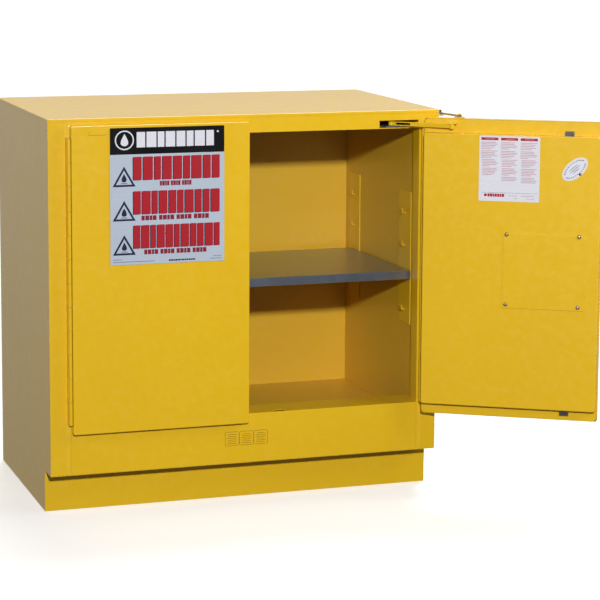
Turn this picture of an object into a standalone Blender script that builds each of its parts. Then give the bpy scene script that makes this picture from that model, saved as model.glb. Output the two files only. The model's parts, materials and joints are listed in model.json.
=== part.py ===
"""Under-counter flammable liquid storage cabinet with two self-closing doors.

The cabinet frame has X to the right, Y to the back and Z up. The left door is
closed and the right door is held open. Door pieces are drawn in door
coordinates: u runs from the hinge pin to the free edge, v from the door's
outer face into the cabinet.
"""
import math

import bmesh
import bpy
from mathutils import Vector

# Carcass
WIDTH = 0.914
DEPTH = 0.559
HEIGHT = 0.889
SHEET = 0.0012
GAP = 0.0003
FRONT = -DEPTH / 2
BACK = DEPTH / 2
LAP = SHEET + GAP
SIDE_X = WIDTH / 2 - LAP
TOE_HEIGHT = 0.0945
TOE_RECESS = 0.066
TOP_FLANGE = 0.006
WALL_SPACE = 0.038

# Door opening and lining
OPEN_HALF = 0.4085
OPEN_LOW = 0.208
OPEN_HIGH = 0.848
JAMB_DEPTH = 0.038
SILL_DEPTH = 0.078
SUMP_Z = 0.155
LINER_X = 0.4175
LINER_BACK = BACK - WALL_SPACE

# Shelf and its hanging strips
SHELF_Z = 0.508
SHELF_FALL = 0.008
SHELF_LIP = 0.0195
SHELF_FRONT = FRONT + 0.057
SHELF_BACK = 0.195
SHELF_HALF = 0.4128
STRIP_WIDTH = 0.076
STRIP_THICK = 0.0022
STRIP_LOW = 0.378
STRIP_HIGH = 0.690
STRIP_Y = (FRONT + 0.0655, 0.135)
HOOK_TOP = 0.4867
HOOK_PITCH = 0.0762
HOOK_REACH = 0.0088

# Vents in the back
VENTS = {"upper": (-0.30, 0.770), "lower": (0.09, 0.250)}
VENT_HOLE_R = 0.0246
VENT_CAP = (
    (0.0205, -0.0120), (0.0205, 0.0), (0.0268, 0.0006), (0.0268, 0.0026), (0.0250, 0.0042),
    (0.0100, 0.0042), (0.0090, 0.0060),
)

# Doors, in door coordinates
PIN_X = 0.4125
DOOR_PROUD = 0.020
PIN_V = 0.0042
PIN_Y = FRONT - DOOR_PROUD + PIN_V
OPEN_ANGLE = math.radians(148.7)
DOOR_LOW = 0.190
DOOR_HIGH = 0.874
DOOR_U = (0.0047, 0.4095)
RING_V = 0.0185
PAN_V = 0.040
PAN_U = (0.0065, 0.4075)
PAN_Z = (0.216, 0.842)

# Piano hinge
HINGE_LOW = 0.212
HINGE_HIGH = 0.848
KNUCKLES = 12
KNUCKLE_R = 0.0040
PIN_R = 0.0018
LEAF_U = 0.0026

# Self-closing arm and slider above the ceiling lining
SLOT_X = (0.311, 0.406)
SLOT_Z = (0.8497, 0.8665)
ARM_PIVOT = (0.070, 0.0375)
ARM_Z = (0.8540, 0.8630)
ARM_WINDOW = (0.012, 0.048)
ARM_PLATE = 0.0018
SLIDER_X = 0.345
SLIDER_OPEN_Y = FRONT + 0.016
TRACK_Y = (FRONT + 0.002, FRONT + 0.184)

# Fusible hold-open link
LINK_PIVOT = (0.083, 0.0085)
LINK_POST = (WIDTH / 2 + 0.0060, FRONT + 0.0035)
LINK_Z = (0.8775, 0.8815)

# Latch on the right door
BOLT_U = 0.336
BOLT_V = 0.0295
BOLT_REACH = 0.011
LEVER_U = 0.365
LEVER_Z = 0.522
LOCK_Z = 0.481

FINISHES = {
    "yellow": ((0.80, 0.47, 0.03), 0.38, 0.0),
    "galvanised": ((0.46, 0.50, 0.53), 0.42, 1.0),
    "steel": ((0.42, 0.42, 0.43), 0.35, 1.0),
    "black": ((0.02, 0.02, 0.02), 0.45, 0.0),
    "brass": ((0.62, 0.46, 0.20), 0.35, 1.0),
}


def clear_scene():
    for item in list(bpy.data.objects):
        bpy.data.objects.remove(item, do_unlink=True)


def new_empty(name, parent=None, location=(0, 0, 0), turn=0.0):
    empty = bpy.data.objects.new(name, None)
    bpy.context.scene.collection.objects.link(empty)
    empty.parent = parent
    empty.location = location
    empty.rotation_euler.z = turn
    return empty


def make_material(name, finish):
    colour, roughness, metallic = FINISHES[finish]
    material = bpy.data.materials.new(name)
    material.use_nodes = True
    shader = material.node_tree.nodes["Principled BSDF"]
    shader.inputs["Base Color"].default_value = (*colour, 1.0)
    shader.inputs["Roughness"].default_value = roughness
    shader.inputs["Metallic"].default_value = metallic
    material.diffuse_color = (*colour, 1.0)
    return material


def add_object(name, bm, parent, finish=None, smooth=False):
    """Links a mesh as one object. Without a finish it is a hidden cutter or tool."""
    bmesh.ops.remove_doubles(bm, verts=bm.verts, dist=1e-6)
    bmesh.ops.recalc_face_normals(bm, faces=bm.faces)
    mesh = bpy.data.meshes.new(name)
    bm.to_mesh(mesh)
    bm.free()
    if smooth:
        mesh.shade_smooth()
        mesh.set_sharp_from_angle(angle=math.radians(35))
    item = bpy.data.objects.new(name, mesh)
    bpy.context.scene.collection.objects.link(item)
    item.parent = parent
    if finish:
        mesh.materials.append(make_material(name + "_finish", finish))
    else:
        item.hide_render = True
        item.display_type = "WIRE"
    return item


def combine(item, tool, operation):
    modifier = item.modifiers.new(operation.lower(), "BOOLEAN")
    modifier.operation = operation
    modifier.solver = "EXACT"
    modifier.object = tool


def add_loft(bm, loops):
    """Joins closed loops of points in order and caps the first and the last."""
    rings = [[bm.verts.new(point) for point in loop] for loop in loops]
    count = len(rings[0])
    for ring, following in zip(rings, rings[1:]):
        for i in range(count):
            j = (i + 1) % count
            bm.faces.new((ring[i], ring[j], following[j], following[i]))
    bm.faces.new(rings[0])
    bm.faces.new(rings[-1])


def add_block(bm, low, high):
    corners = ((low[0], low[1]), (high[0], low[1]), (high[0], high[1]), (low[0], high[1]))
    add_loft(bm, [[(x, y, z) for x, y in corners] for z in (low[2], high[2])])


def add_prism(bm, outline, axis, low, high):
    """Extrudes an outline, given in the two other axes in X, Y, Z order, along an axis."""
    loops = []
    for level in (low, high):
        loop = []
        for point in outline:
            spot = list(point)
            spot.insert(axis, level)
            loop.append(spot)
        loops.append(loop)
    add_loft(bm, loops)


def add_turned(bm, profile, centre, axis, sides):
    """Turns an open (radius, height) profile about an axis and caps both ends."""
    loops = []
    for radius, height in profile:
        loop = []
        for i in range(sides):
            angle = 2 * math.pi * i / sides
            spot = [radius * math.cos(angle), radius * math.sin(angle)]
            spot.insert(axis, height)
            loop.append(Vector(centre) + Vector(spot))
        loops.append(loop)
    add_loft(bm, loops)


def add_tube(bm, outer, inner, low, high, centre, sides):
    """A vertical tube about a centre."""
    profile = ((inner, low), (outer, low), (outer, high), (inner, high))
    rings = []
    for radius, height in profile:
        angles = [2 * math.pi * i / sides for i in range(sides)]
        rings.append([
            bm.verts.new((
                centre[0] + radius * math.cos(a),
                centre[1] + radius * math.sin(a),
                height,
            ))
            for a in angles
        ])
    for k, ring in enumerate(rings):
        following = rings[(k + 1) % len(rings)]
        for i in range(sides):
            j = (i + 1) % sides
            bm.faces.new((ring[i], ring[j], following[j], following[i]))


def sheet_outline(path, thickness):
    """A closed outline of a bent sheet: the path and its copy offset to the left."""
    points = [Vector(p) for p in path]
    offset = []
    for i, point in enumerate(points):
        normals = []
        if i > 0:
            run = (point - points[i - 1]).normalized()
            normals.append(Vector((-run.y, run.x)))
        if i < len(points) - 1:
            run = (points[i + 1] - point).normalized()
            normals.append(Vector((-run.y, run.x)))
        mean = sum(normals, Vector((0, 0))).normalized()
        offset.append(point + mean * thickness / mean.dot(normals[0]))
    return [tuple(p) for p in points + offset[::-1]]


def rounded_rectangle(a_range, b_range, radius, steps=3):
    """Points round a rectangle in two coordinates, with round corners."""
    a_low, a_high = a_range
    b_low, b_high = b_range
    centres = (
        (a_high - radius, b_high - radius),
        (a_low + radius, b_high - radius),
        (a_low + radius, b_low + radius),
        (a_high - radius, b_low + radius),
    )
    points = []
    for quarter, (a, b) in enumerate(centres):
        for step in range(steps + 1):
            angle = math.pi / 2 * (quarter + step / steps)
            points.append((a + radius * math.cos(angle), b + radius * math.sin(angle)))
    return points


def block_object(name, low, high, parent, finish=None):
    bm = bmesh.new()
    add_block(bm, low, high)
    return add_object(name, bm, parent, finish)


def mirrored_block(name, side, low, high, parent, finish=None):
    """A block given for the right side, mirrored in X for the left one."""
    x_low, x_high = sorted((side * low[0], side * high[0]))
    return block_object(name, (x_low, *low[1:]), (x_high, *high[1:]), parent, finish)


def door_block(name, side, u_range, v_range, z_range, parent, finish=None):
    low = (-u_range[1], v_range[0] - PIN_V, z_range[0])
    high = (-u_range[0], v_range[1] - PIN_V, z_range[1])
    return mirrored_block(name, side, low, high, parent, finish)


# ---------------------------------------------------------------- carcass

def build_top(parent):
    bm = bmesh.new()
    low_z = HEIGHT - TOP_FLANGE
    levels = (
        (0.0, low_z), (0.0, HEIGHT - 0.0012), (0.0004, HEIGHT - 0.0004), (0.0012, HEIGHT),
    )
    loops = []
    inner = []
    for inset, z in levels:
        outline = rounded_rectangle(
            (-WIDTH / 2 + inset, WIDTH / 2 - inset), (FRONT - LAP + inset, BACK - inset), 0.003)
        loops.append([(x, y, z) for x, y in outline])
    for z in (HEIGHT - SHEET, low_z):
        outline = rounded_rectangle(
            (-WIDTH / 2 + SHEET, WIDTH / 2 - SHEET), (FRONT - GAP, BACK - SHEET), 0.0004)
        inner.append([(x, y, z) for x, y in outline])
    add_loft(bm, inner + loops)
    return add_object("outer_top", bm, parent, "yellow")


def build_outer_side(name, side, parent):
    front = FRONT + LAP
    back = BACK - 2 * LAP
    outline = (
        (front, TOE_HEIGHT), (FRONT + TOE_RECESS, TOE_HEIGHT), (FRONT + TOE_RECESS, 0.0),
        (back, 0.0), (back, HEIGHT - LAP - GAP), (front, HEIGHT - LAP - GAP),
    )
    x_low, x_high = sorted((side * SIDE_X, side * (SIDE_X - SHEET)))
    bm = bmesh.new()
    add_prism(bm, outline, 0, x_low, x_high)
    return add_object(name, bm, parent, "yellow")


def build_toe_kick(parent):
    """A kick panel with a hem folded back at the floor, between the side panels."""
    face = FRONT + TOE_RECESS - LAP
    plate = block_object(
        "toe_kick", (-SIDE_X, face, 0.0), (SIDE_X, face + SHEET, TOE_HEIGHT - GAP),
        parent, "yellow")
    half = SIDE_X - SHEET - GAP
    hem = block_object(
        "toe_kick_hem", (-half, face + 0.0005, 0.0), (half, face + 0.020, SHEET), parent)
    combine(plate, hem, "UNION")
    return plate


def cut_vent_holes(item, y, parent):
    for name, (x, z) in VENTS.items():
        bm = bmesh.new()
        add_turned(bm, ((VENT_HOLE_R, y - 0.02), (VENT_HOLE_R, y + 0.02)), (x, 0.0, z), 1, 24)
        cutter = add_object(f"{item.name}_{name}_hole", bm, parent)
        combine(item, cutter, "DIFFERENCE")


def build_flat_panels(parent):
    inner_x = SIDE_X - SHEET - GAP
    back = block_object(
        "outer_back", (-SIDE_X + 0.0002, BACK - LAP - SHEET, 0.0),
        (SIDE_X - 0.0002, BACK - LAP, HEIGHT - LAP - GAP), parent, "yellow")
    cut_vent_holes(back, BACK - LAP, parent)
    block_object(
        "outer_bottom", (-inner_x, FRONT, TOE_HEIGHT),
        (inner_x, BACK - 2 * LAP, TOE_HEIGHT + SHEET), parent, "yellow")
    lining_x = LINER_X + SHEET
    lining = block_object(
        "inner_back", (-lining_x, LINER_BACK, SUMP_Z), (lining_x, LINER_BACK + SHEET, OPEN_HIGH),
        parent, "yellow")
    cut_vent_holes(lining, LINER_BACK, parent)
    block_object(
        "inner_top", (-lining_x, FRONT + JAMB_DEPTH + GAP, OPEN_HIGH + GAP),
        (lining_x, LINER_BACK + SHEET, OPEN_HIGH + LAP), parent, "yellow")
    block_object(
        "sump_floor", (-lining_x, FRONT + SILL_DEPTH - SHEET, SUMP_Z - LAP),
        (lining_x, LINER_BACK + SHEET, SUMP_Z - GAP), parent, "yellow")


def build_inner_side(name, side, parent):
    """The side lining, with a return that meets the door jamb."""
    front = FRONT + JAMB_DEPTH + GAP
    path = [(OPEN_HALF + LAP, front), (LINER_X, front), (LINER_X, LINER_BACK - GAP)]
    outline = [(side * x, y) for x, y in sheet_outline(path, -SHEET)]
    bm = bmesh.new()
    add_prism(bm, outline, 2, SUMP_Z, OPEN_HIGH)
    return add_object(name, bm, parent, "yellow")


def build_stile(name, side, parent):
    """A front flange, the pocket that holds the hinge leaf, and the door jamb."""
    pocket_out = PIN_X + LEAF_U + SHEET + GAP
    pocket_in = PIN_X + LEAF_U - GAP
    pocket_y = FRONT + 0.016
    path = [
        (SIDE_X, FRONT), (pocket_out, FRONT), (pocket_out, pocket_y), (pocket_in, pocket_y),
        (pocket_in, FRONT), (OPEN_HALF, FRONT), (OPEN_HALF, FRONT + JAMB_DEPTH),
    ]
    outline = [(side * x, y) for x, y in sheet_outline(path, -SHEET)]
    bm = bmesh.new()
    add_prism(bm, outline, 2, TOE_HEIGHT + LAP, HEIGHT - LAP - GAP)
    return add_object(name, bm, parent, "yellow")


def cut_bolt_slot(item, z, parent):
    """The slot that a latch bolt of the closed right door enters."""
    x = PIN_X - BOLT_U
    y = FRONT - DOOR_PROUD + BOLT_V
    cutter = block_object(
        item.name + "_bolt_slot", (x - 0.0125, y - 0.006, z - 0.006),
        (x + 0.0125, y + 0.006, z + 0.006), parent)
    combine(item, cutter, "DIFFERENCE")


def build_header(parent):
    half = OPEN_HALF - GAP
    path = ((FRONT + JAMB_DEPTH, OPEN_HIGH), (FRONT, OPEN_HIGH), (FRONT, HEIGHT - LAP - GAP))
    bm = bmesh.new()
    add_prism(bm, sheet_outline(path, -SHEET), 0, -half, half)
    header = add_object("frame_header", bm, parent, "yellow")
    for side, name in ((-1, "left"), (1, "right")):
        cutter = mirrored_block(
            f"{name}_closer_slot", side, (SLOT_X[0], FRONT - 0.005, SLOT_Z[0]),
            (SLOT_X[1], FRONT + 0.005, SLOT_Z[1]), parent)
        combine(header, cutter, "DIFFERENCE")
    cut_bolt_slot(header, OPEN_HIGH, parent)
    return header


def build_sill(parent):
    """The raised sill holds a spill in the sump; its rear wall meets the sump floor."""
    half = LINER_X - GAP
    path = (
        (FRONT, TOE_HEIGHT + LAP), (FRONT, OPEN_LOW), (FRONT + SILL_DEPTH, OPEN_LOW),
        (FRONT + SILL_DEPTH, SUMP_Z),
    )
    bm = bmesh.new()
    add_prism(bm, sheet_outline(path, -SHEET), 0, -half, half)
    sill = add_object("frame_sill", bm, parent, "yellow")
    for side, name in ((-1, "left"), (1, "right")):
        cutter = mirrored_block(
            f"{name}_sill_corner", side, (OPEN_HALF - GAP, FRONT - 0.01, 0.05),
            (OPEN_HALF + 0.05, FRONT + JAMB_DEPTH + LAP + GAP, 0.25), parent)
        combine(sill, cutter, "DIFFERENCE")
    cut_bolt_slot(sill, OPEN_LOW, parent)
    return sill


def build_foot(name, x, y, parent):
    """A levelling foot: pad, threaded stem and the nut under the cabinet bottom."""
    nut_top = TOE_HEIGHT - GAP
    profile = (
        (0.0175, 0.0), (0.019, 0.0015), (0.019, 0.005), (0.014, 0.008), (0.005, 0.0095),
        (0.005, nut_top - 0.008), (0.0095, nut_top - 0.008), (0.0095, nut_top),
    )
    bm = bmesh.new()
    add_turned(bm, profile, (x, y, 0.0), 2, 18)
    return add_object(name, bm, parent, "steel", smooth=True)


def build_vent(name, x, z, parent):
    """A bung cap in the back panel and the flame screen behind it."""
    face = BACK - LAP + GAP
    bm = bmesh.new()
    add_turned(bm, [(radius, face + height) for radius, height in VENT_CAP], (x, 0.0, z), 1, 24)
    add_object(f"vent_cap_{name}", bm, parent, "yellow", smooth=True)
    bm = bmesh.new()
    radius = VENT_HOLE_R - GAP
    add_turned(bm, ((radius, LINER_BACK), (radius, LINER_BACK + SHEET)), (x, 0.0, z), 1, 24)
    add_object(f"flame_screen_{name}", bm, parent, "brass", smooth=True)


def build_ground_stud(parent):
    profile = (
        (0.0105, 0.0), (0.0105, 0.0016), (0.0070, 0.0018), (0.0070, 0.0065), (0.0030, 0.0068),
        (0.0030, 0.0130),
    )
    start = SIDE_X + GAP
    profile = tuple((radius, start + height) for radius, height in profile)
    bm = bmesh.new()
    add_turned(bm, profile, (0.0, 0.200, 0.140), 0, 12)
    return add_object("ground_stud", bm, parent, "brass", smooth=True)


def build_strip(name, side, y, parent):
    """A hanging strip on the side lining with four shelf hooks."""
    face = LINER_X - GAP - STRIP_THICK
    strip = mirrored_block(
        name, side, (face, y, STRIP_LOW), (LINER_X - GAP, y + STRIP_WIDTH, STRIP_HIGH),
        parent, "yellow")
    middle = y + STRIP_WIDTH / 2
    bm = bmesh.new()
    for i in range(4):
        top = HOOK_TOP + HOOK_PITCH * (i - 1)
        path = [
            (face + 0.001, top), (face - HOOK_REACH + 0.0016, top),
            (face - HOOK_REACH + 0.0016, top + 0.009),
        ]
        outline = [(side * x, z) for x, z in sheet_outline(path, 0.0016)]
        add_prism(bm, outline, 1, middle - 0.007, middle + 0.007)
    hooks = add_object(name + "_hooks", bm, parent)
    combine(strip, hooks, "UNION")
    return strip


def build_shelf(parent):
    """A galvanised shelf that falls towards the back, with a front and a rear lip."""
    low = SHELF_Z - SHELF_LIP
    back_z = SHELF_Z - SHELF_FALL
    path = (
        (SHELF_FRONT + 0.010, low), (SHELF_FRONT, low), (SHELF_FRONT, SHELF_Z),
        (SHELF_BACK, back_z), (SHELF_BACK, low + 0.001),
    )
    bm = bmesh.new()
    add_prism(bm, sheet_outline(path, -SHEET), 0, -SHELF_HALF, SHELF_HALF)
    shelf = add_object("shelf", bm, parent, "galvanised")
    front = SHELF_FRONT + 0.0125
    back = SHELF_BACK - 0.0006
    outline = (
        (front, HOOK_TOP + GAP), (back, HOOK_TOP + GAP), (back, back_z - 0.0006),
        (front, SHELF_Z - 0.0008),
    )
    bm = bmesh.new()
    for side in (-1, 1):
        x_low, x_high = sorted((side * (SHELF_HALF - 0.0001), side * (SHELF_HALF - 0.0013)))
        add_prism(bm, outline, 0, x_low, x_high)
    combine(shelf, add_object("shelf_side_flanges", bm, parent), "UNION")
    return shelf


def build_carcass(parent):
    build_top(parent)
    build_flat_panels(parent)
    for side, name in ((-1, "left"), (1, "right")):
        build_outer_side("outer_side_" + name, side, parent)
        build_inner_side("inner_side_" + name, side, parent)
        build_stile("frame_stile_" + name, side, parent)
        for y, place in zip(STRIP_Y, ("front", "rear")):
            build_strip(f"shelf_strip_{name}_{place}", side, y, parent)
        for y, place in ((FRONT + 0.115, "front"), (BACK - 0.055, "rear")):
            build_foot(f"foot_{name}_{place}", side * (SIDE_X - 0.050), y, parent)
    build_toe_kick(parent)
    build_header(parent)
    build_sill(parent)
    build_shelf(parent)
    for name, (x, z) in VENTS.items():
        build_vent(name, x, z, parent)
    build_ground_stud(parent)


# ------------------------------------------------------------------ doors

def door_loop(side, u_range, z_range, v, radius):
    outline = rounded_rectangle(u_range, z_range, radius)
    return [(-side * u, v - PIN_V, z) for u, z in outline]


def inset_loop(side, u_range, z_range, inset, v, radius):
    u_inset = (u_range[0] + inset, u_range[1] - inset)
    z_inset = (z_range[0] + inset, z_range[1] - inset)
    return door_loop(side, u_inset, z_inset, v, radius)


def build_door_outer(name, side, parent):
    """The outer tray, with a raised pad over the closer bracket."""
    z_range = (DOOR_LOW, DOOR_HIGH)
    steps = ((0.0, RING_V), (0.0, 0.0015), (0.0005, 0.0005), (0.0015, 0.0))
    loops = [inset_loop(side, DOOR_U, z_range, SHEET, v, 0.003) for v in (RING_V, SHEET)]
    outer = [inset_loop(side, DOOR_U, z_range, inset, v, 0.004) for inset, v in steps]
    bm = bmesh.new()
    add_loft(bm, loops[::-1] + outer)
    tray = add_object(name, bm, parent, "yellow")
    bm = bmesh.new()
    pad = [
        inset_loop(side, (0.0425, 0.0835), (0.853, 0.866), inset, v, 0.003)
        for inset, v in ((0.0, 0.0006), (0.0, -0.0002), (0.0018, -0.0016))
    ]
    add_loft(bm, pad)
    combine(tray, add_object(name + "_pad", bm, parent), "UNION")
    return tray


def build_door_inner(name, side, parent):
    """The inner pan and the flat ring round it that closes on the cabinet frame."""
    ring_u = (DOOR_U[0] + LAP, DOOR_U[1] - LAP)
    ring_z = (DOOR_LOW + LAP, DOOR_HIGH - LAP)
    shell = (
        (PAN_U, PAN_Z, SHEET, PAN_V - SHEET), (PAN_U, PAN_Z, SHEET, RING_V - SHEET),
        (ring_u, ring_z, 0.0, RING_V - SHEET), (ring_u, ring_z, 0.0, RING_V),
        (PAN_U, PAN_Z, 0.0, RING_V), (PAN_U, PAN_Z, 0.0, PAN_V - 0.0020),
        (PAN_U, PAN_Z, 0.0006, PAN_V - 0.0006), (PAN_U, PAN_Z, 0.0020, PAN_V),
    )
    bm = bmesh.new()
    add_loft(bm, [inset_loop(side, u, z, inset, v, 0.006) for u, z, inset, v in shell])
    return add_object(name, bm, parent, "yellow")


def knuckle_bounds(index):
    length = (HINGE_HIGH - HINGE_LOW) / KNUCKLES
    return HINGE_LOW + index * length + GAP, HINGE_LOW + (index + 1) * length - GAP


def build_leaf(name, side, start, u_low, v_end, parent):
    """One hinge leaf; its knuckles alternate with the other leaf's."""
    leaf = door_block(
        name, side, (u_low, u_low + SHEET), (PIN_V, v_end), (HINGE_LOW + GAP, HINGE_HIGH - GAP),
        parent, "yellow")
    barrels = bmesh.new()
    reliefs = bmesh.new()
    for index in range(KNUCKLES):
        low, high = knuckle_bounds(index)
        if index % 2 == start:
            add_tube(barrels, KNUCKLE_R, PIN_R + GAP, low, high, (0.0, 0.0), 12)
        else:
            y_high = KNUCKLE_R + GAP
            x_low, x_high = sorted((-side * (u_low - 0.001), -side * (u_low + SHEET + 0.001)))
            add_block(reliefs, (x_low, -0.001, low - 1.5 * GAP), (x_high, y_high, high + 1.5 * GAP))
    combine(leaf, add_object(name + "_reliefs", reliefs, parent), "DIFFERENCE")
    combine(leaf, add_object(name + "_knuckles", barrels, parent), "UNION")
    return leaf


def build_hinge(name, side, fixed, swinging):
    build_leaf(f"{name}_hinge_frame_leaf", side, 0, -LEAF_U - SHEET, DOOR_PROUD + 0.0155, fixed)
    build_leaf(f"{name}_hinge_door_leaf", side, 1, LEAF_U, 0.0175, swinging)
    bm = bmesh.new()
    add_turned(bm, ((PIN_R, HINGE_LOW - 0.001), (PIN_R, HINGE_HIGH + 0.001)), (0, 0, 0), 2, 12)
    add_object(f"{name}_hinge_pin", bm, fixed, "steel", smooth=True)


def turn(point, angle):
    cosine, sine = math.cos(angle), math.sin(angle)
    return Vector((cosine * point[0] - sine * point[1], sine * point[0] + cosine * point[1]))


def door_to_cabinet(spot, angle):
    """Where a point of the right door, in door coordinates, is at an opening angle."""
    u, v = spot
    return Vector((PIN_X, PIN_Y)) + turn((-u, v - PIN_V), angle)


def arm_length():
    """The closer arm's length, which puts its slider at the track's front end when held open."""
    pivot = door_to_cabinet(ARM_PIVOT, OPEN_ANGLE)
    return (Vector((SLIDER_X, SLIDER_OPEN_Y)) - pivot).length


def arm_heading(angle):
    """The right arm's direction from its pivot to the slider, and the slider's Y."""
    pivot = door_to_cabinet(ARM_PIVOT, angle)
    across = SLIDER_X - pivot.x
    along = math.sqrt(arm_length() ** 2 - across ** 2)
    return math.atan2(along, across), pivot.y + along


def link_heading(angle):
    """The link's direction from its pivot to the post, and its length."""
    reach = Vector(LINK_POST) - door_to_cabinet(LINK_PIVOT, angle)
    return math.atan2(reach.y, reach.x), reach.length


def bar_outline(length, end_radius, half_width):
    """A flat bar along +X from the origin with a round eye at each end."""
    points = []
    spread = math.asin(half_width / end_radius)
    for centre, facing in ((length, 0.0), (0.0, math.pi)):
        for step in range(9):
            angle = facing - (math.pi - spread) + 2 * (math.pi - spread) * step / 8
            points.append((centre + end_radius * math.cos(angle), end_radius * math.sin(angle)))
    return points


def build_bar(name, length, end_radius, half_width, z_range, hole, parent, finish):
    bm = bmesh.new()
    add_prism(bm, bar_outline(length, end_radius, half_width), 2, *z_range)
    bar = add_object(name, bm, parent, finish)
    holes = bmesh.new()
    for x in (0.0, length):
        span = ((hole, z_range[0] - 0.002), (hole, z_range[1] + 0.002))
        add_turned(holes, span, (x, 0.0, 0.0), 2, 16)
    combine(bar, add_object(name + "_holes", holes, parent), "DIFFERENCE")
    return bar


def build_closer(name, side, angle, cabinet, door):
    """The door bracket, the arm through the header slot, and its slider and track."""
    u, v = ARM_PIVOT
    bracket = door_block(
        f"{name}_closer_bracket", side, (u - 0.018, u + 0.018), (RING_V + GAP, RING_V + LAP - GAP),
        (0.8530, 0.8710), door, "yellow")
    ear = door_block(
        f"{name}_closer_ear", side, (u - 0.011, u + 0.011), (RING_V + 0.0007, v + 0.006),
        (ARM_Z[1] + 0.0004, ARM_Z[1] + 0.0024), door)
    combine(bracket, ear, "UNION")
    rivet = bmesh.new()
    profile = (
        (0.0045, ARM_Z[0] - 0.0022), (0.0045, ARM_Z[0] - 0.0004), (0.0024, ARM_Z[0] - 0.0004),
        (0.0024, ARM_Z[1] + 0.0014),
    )
    add_turned(rivet, profile, (-side * u, v - PIN_V, 0.0), 2, 16)
    combine(bracket, add_object(f"{name}_closer_rivet", rivet, door), "UNION")

    heading, slider_y = arm_heading(angle)
    local_heading = heading - angle if side > 0 else math.pi - heading + angle
    arm_pivot = new_empty(
        f"{name}_closer_arm_pivot", door, (-side * u, v - PIN_V, 0.0), local_heading)
    length = arm_length()
    arm = build_bar(
        f"{name}_closer_arm", length, 0.0062, 0.0046, ARM_Z, 0.0029, arm_pivot, "yellow")
    window = block_object(
        f"{name}_closer_arm_window", (length - ARM_WINDOW[1], -0.010, ARM_Z[0] + ARM_PLATE),
        (length - ARM_WINDOW[0], 0.010, ARM_Z[1] - ARM_PLATE), arm_pivot)
    combine(arm, window, "DIFFERENCE")

    wide = 0.018
    base = OPEN_HIGH + LAP + 0.0004
    path = [(-wide, base + 0.003), (-wide, base), (wide, base), (wide, base + 0.003)]
    outline = [(side * SLIDER_X + x, z) for x, z in sheet_outline(path, SHEET)]
    bm = bmesh.new()
    add_prism(bm, outline, 1, *TRACK_Y)
    add_object(f"{name}_closer_track", bm, cabinet, "galvanised")

    carriage = new_empty(
        f"{name}_closer_slider_centre", cabinet, (side * SLIDER_X, slider_y, 0.0))
    reach = wide - LAP - 0.0004
    slider = block_object(
        f"{name}_closer_slider", (-reach, -0.011, base + LAP),
        (reach, 0.011, ARM_Z[0] - 0.0010), carriage, "steel")
    stub = bmesh.new()
    add_turned(stub, ((0.0024, base + 0.002), (0.0024, ARM_Z[0] - 0.0003)), (0, 0, 0), 2, 16)
    combine(slider, add_object(f"{name}_closer_stub", stub, carriage), "UNION")


def build_hold_open_link(cabinet, door):
    """The right door's fusible link, its bracket on the door's top edge and its post on the side."""
    u, v = LINK_PIVOT
    bracket = door_block(
        "right_link_bracket", 1, (u - 0.011, u + 0.011), (v - 0.0065, v + 0.0065),
        (DOOR_HIGH + GAP, LINK_Z[0] - 0.0004), door, "yellow")
    rivet = bmesh.new()
    profile = (
        (0.0022, DOOR_HIGH + 0.0015), (0.0022, LINK_Z[1] + 0.0004), (0.0042, LINK_Z[1] + 0.0004),
        (0.0042, LINK_Z[1] + 0.0014), (0.0025, LINK_Z[1] + 0.0030),
    )
    add_turned(rivet, profile, (-u, v - PIN_V, 0.0), 2, 16)
    combine(bracket, add_object("right_link_rivet", rivet, door), "UNION")

    heading, length = link_heading(OPEN_ANGLE)
    link_pivot = new_empty("right_link_pivot", door, (-u, v - PIN_V, 0.0), heading - OPEN_ANGLE)
    link = build_bar(
        "right_fusible_link", length, 0.0048, 0.0036, LINK_Z, 0.0027, link_pivot, "steel")
    tab = block_object(
        "right_link_tab", (length + 0.0034, -0.0032, LINK_Z[0] + 0.0004),
        (length + 0.0044, 0.0032, LINK_Z[1] + 0.0058), link_pivot)
    combine(link, tab, "UNION")

    x, y = LINK_POST
    plate = mirrored_block(
        "right_link_post", 1, (SIDE_X + GAP, y + 0.0015, 0.860),
        (SIDE_X + GAP + SHEET, y + 0.021, HEIGHT - TOP_FLANGE - GAP), cabinet, "yellow")
    ear = mirrored_block(
        "right_link_ear", 1, (SIDE_X + 0.0006, y - 0.004, LINK_Z[0] - 0.0036),
        (x + 0.005, y + 0.012, LINK_Z[0] - 0.0020), cabinet)
    combine(plate, ear, "UNION")
    stub = bmesh.new()
    add_turned(
        stub, ((0.0022, LINK_Z[0] - 0.0030), (0.0022, LINK_Z[0] - 0.0004)), (x, y, 0), 2, 16)
    combine(plate, add_object("right_link_stub", stub, cabinet), "UNION")


def build_door(name, side, angle, cabinet):
    hinge_line = new_empty(f"{name}_hinge_line", cabinet, (side * PIN_X, PIN_Y, 0.0))
    swing = new_empty(f"{name}_swing", hinge_line, (0, 0, 0), side * angle)
    outer = build_door_outer(f"{name}_door_outer", side, swing)
    inner = build_door_inner(f"{name}_door_inner", side, swing)
    build_hinge(name, side, hinge_line, swing)
    build_closer(name, side, angle, cabinet, swing)
    return swing, outer, inner


# ------------------------------------------------------------------ latch

def cylinder_cutter(name, radius, u, z, v_range, door):
    bm = bmesh.new()
    span = tuple((radius, v - PIN_V) for v in v_range)
    add_turned(bm, span, (-u, 0.0, z), 1, 20)
    return add_object(name, bm, door)


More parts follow.
